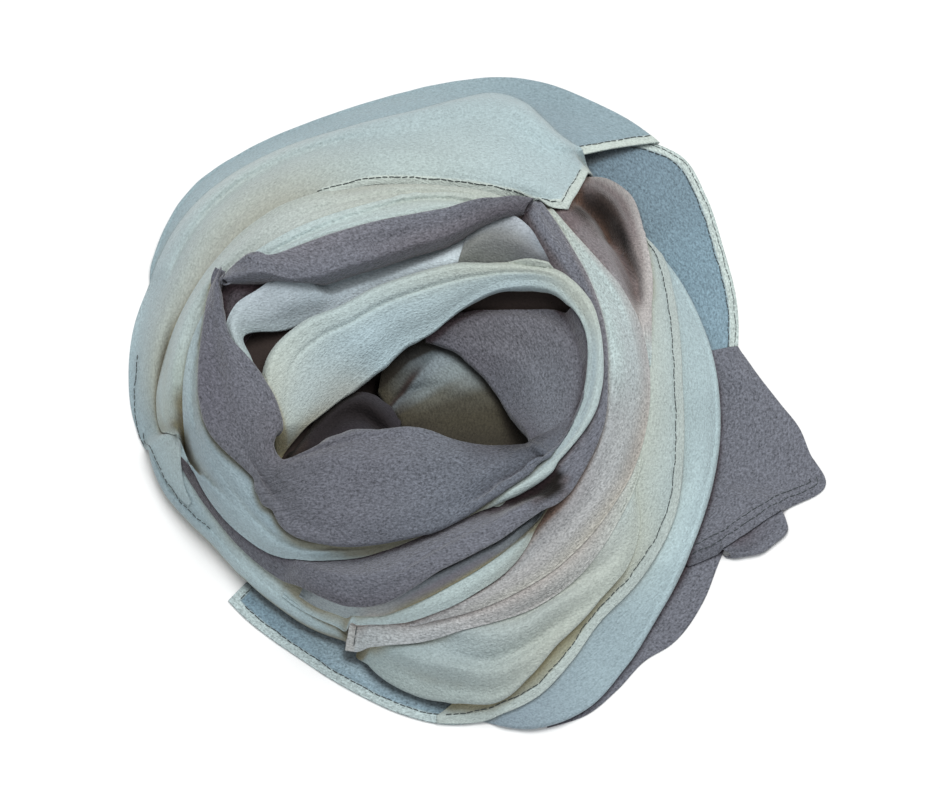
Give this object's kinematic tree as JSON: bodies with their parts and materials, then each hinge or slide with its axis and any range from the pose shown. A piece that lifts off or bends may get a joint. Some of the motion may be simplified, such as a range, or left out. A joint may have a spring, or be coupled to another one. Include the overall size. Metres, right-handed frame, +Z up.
{
  "type": "chiffon scarf",
  "caption": "Two-tone crepe chiffon scarf with stitched hems, coiled into a loose nest and laid flat on a surface, its ends spread out beside it",
  "frame": {"origin": "middle of the scarf's box, on the surface that it lies on", "axes": "+Z up off the surface, +Y to the rear of the nest, +X to the right, where the tails lie"},
  "size_m": [0.348, 0.3529, 0.0805],
  "materials": {
    "chiffon_mint": "matte crepe chiffon",
    "chiffon_cream": "matte crepe chiffon",
    "chiffon_mauve": "matte crepe chiffon",
    "chiffon_slate": "matte crepe chiffon",
    "chiffon_rose": "matte crepe chiffon"
  },
  "bodies": {
    "root": {"flap_back": "chiffon_slate", "flap_front": "chiffon_slate", "tail_lower": "chiffon_mauve", "tail_curl": "chiffon_mauve", "tail_upper": "chiffon_mauve", "wrap_back": "chiffon_mint", "side_outer": "chiffon_mint", "wrap_left": "chiffon_mint", "side_hem": "chiffon_cream", "front_folds": "chiffon_cream", "side_rose": "chiffon_rose", "front_rose": "chiffon_rose", "side_mint": "chiffon_mint", "strip_mint": "chiffon_mint", "strip_cream": "chiffon_cream", "ring_front": "chiffon_mauve", "wrap_top": "chiffon_mint", "roll_outer": "chiffon_cream", "roll_inner": "chiffon_mint", "pit_cream": "chiffon_cream", "pit_curl": "chiffon_mauve", "pit_mauve": "chiffon_mauve", "corner_inner": "chiffon_mauve", "lavender": "chiffon_rose", "gusset": "chiffon_rose", "ring_rear": "chiffon_mauve", "rim_cream": "chiffon_cream", "bowl": "chiffon_mauve", "heap": "chiffon_cream"}
  },
  "joints": []
}
